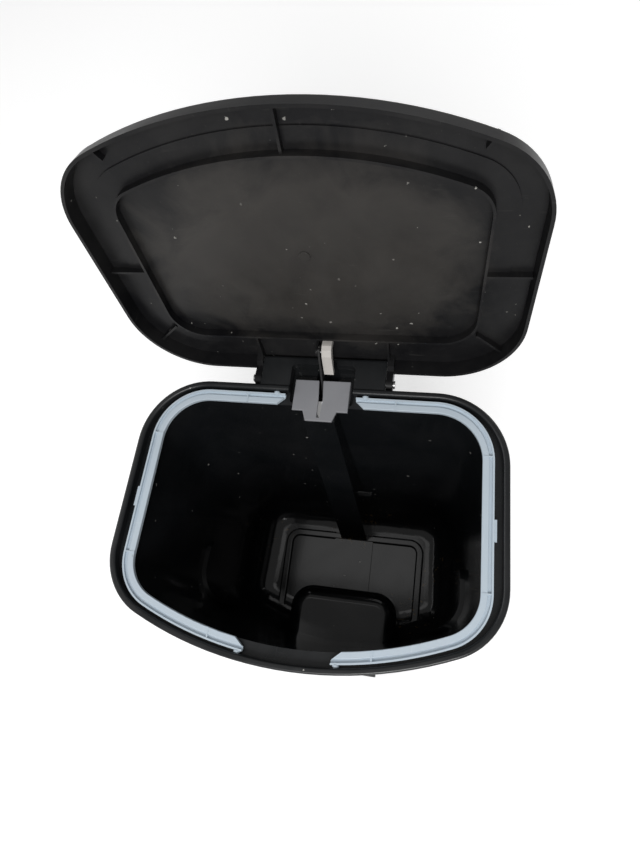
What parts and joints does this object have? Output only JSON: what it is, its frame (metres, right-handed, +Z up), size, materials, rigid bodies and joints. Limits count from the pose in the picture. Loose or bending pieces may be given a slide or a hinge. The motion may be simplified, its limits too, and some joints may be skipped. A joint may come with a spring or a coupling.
{
  "type": "pedal trash can",
  "caption": "Tapered black pedal trash can with a rear-hinged lid, a pedal and push-rod lid lift, and two folding bag-holding rings.",
  "frame": {"origin": "centre of the base, on the floor", "axes": "+Z up; -Y towards the front, where the pedal is; +X to the right as seen from the front"},
  "size_m": [0.3506, 0.364, 0.5781],
  "materials": {
    "black_body": "moulded black polypropylene, glossy inside, satin rim",
    "black_lid": "moulded black polypropylene, satin",
    "black_base": "moulded black polypropylene",
    "ring_plastic": "pale blue-grey moulded plastic",
    "cover_plastic": "mid grey moulded plastic",
    "link_plastic": "light grey moulded plastic",
    "steel": "zinc-plated steel",
    "foot_rubber": "black rubber"
  },
  "bodies": {
    "body": {"body_shell": "black_body", "rod_guide_cover": "cover_plastic", "base_plate": "black_base", "base_screws": "steel", "foot_front_left": "foot_rubber", "foot_front_right": "foot_rubber", "foot_rear_left": "foot_rubber", "foot_rear_right": "foot_rubber", "lever_axle": "steel", "hinge_pin_left": "steel", "hinge_pin_right": "steel"},
    "lid": {"lid_shell": "black_lid", "lift_arm": "link_plastic", "lid_link_pin": "steel"},
    "link": {"lift_link": "black_base"},
    "rod": {"push_rod": "link_plastic", "rod_pin": "steel"},
    "pedal": {"pedal_lever": "steel", "pedal_tread": "black_base"},
    "ring_left": {"bag_ring_left": "ring_plastic"},
    "ring_right": {"bag_ring_right": "ring_plastic"}
  },
  "joints": [
    {"name": "lid_hinge", "type": "hinge", "parent": "body", "child": "lid", "pos_m": [0, 0.1496, 0.335], "axis": [1, 0, 0], "range_deg": [0, 105.6]},
    {"name": "link_pivot", "type": "hinge", "parent": "lid", "child": "link", "pos_m": [-0.001, 0.16799, 0.35997], "axis": [1, 0, 0], "range_deg": [-78.83, 0]},
    {"name": "rod_slide", "type": "slide", "parent": "body", "child": "rod", "axis": [0, -0.2138, -0.9769], "range_m": [0, 0.01501]},
    {"name": "pedal_hinge", "type": "hinge", "parent": "body", "child": "pedal", "pos_m": [0, -0.006, 0.0145], "axis": [-1, 0, 0], "range_deg": [0, 15.25]},
    {"name": "ring_left_fold", "type": "hinge", "parent": "body", "child": "ring_left", "pos_m": [-0.0414, 0, 0.3367], "axis": [0, 1, 0], "range_deg": [0, 5]},
    {"name": "ring_right_fold", "type": "hinge", "parent": "body", "child": "ring_right", "pos_m": [0.0414, 0, 0.3367], "axis": [0, -1, 0], "range_deg": [0, 5]}
  ],
  "couplings": [
    {"joint": "link_pivot", "follows": "lid_hinge", "ratio": -0.74641},
    {"joint": "rod_slide", "follows": "lid_hinge", "m_per_rad": 0.0081386},
    {"joint": "pedal_hinge", "follows": "lid_hinge", "ratio": 0.14432}
  ]
}
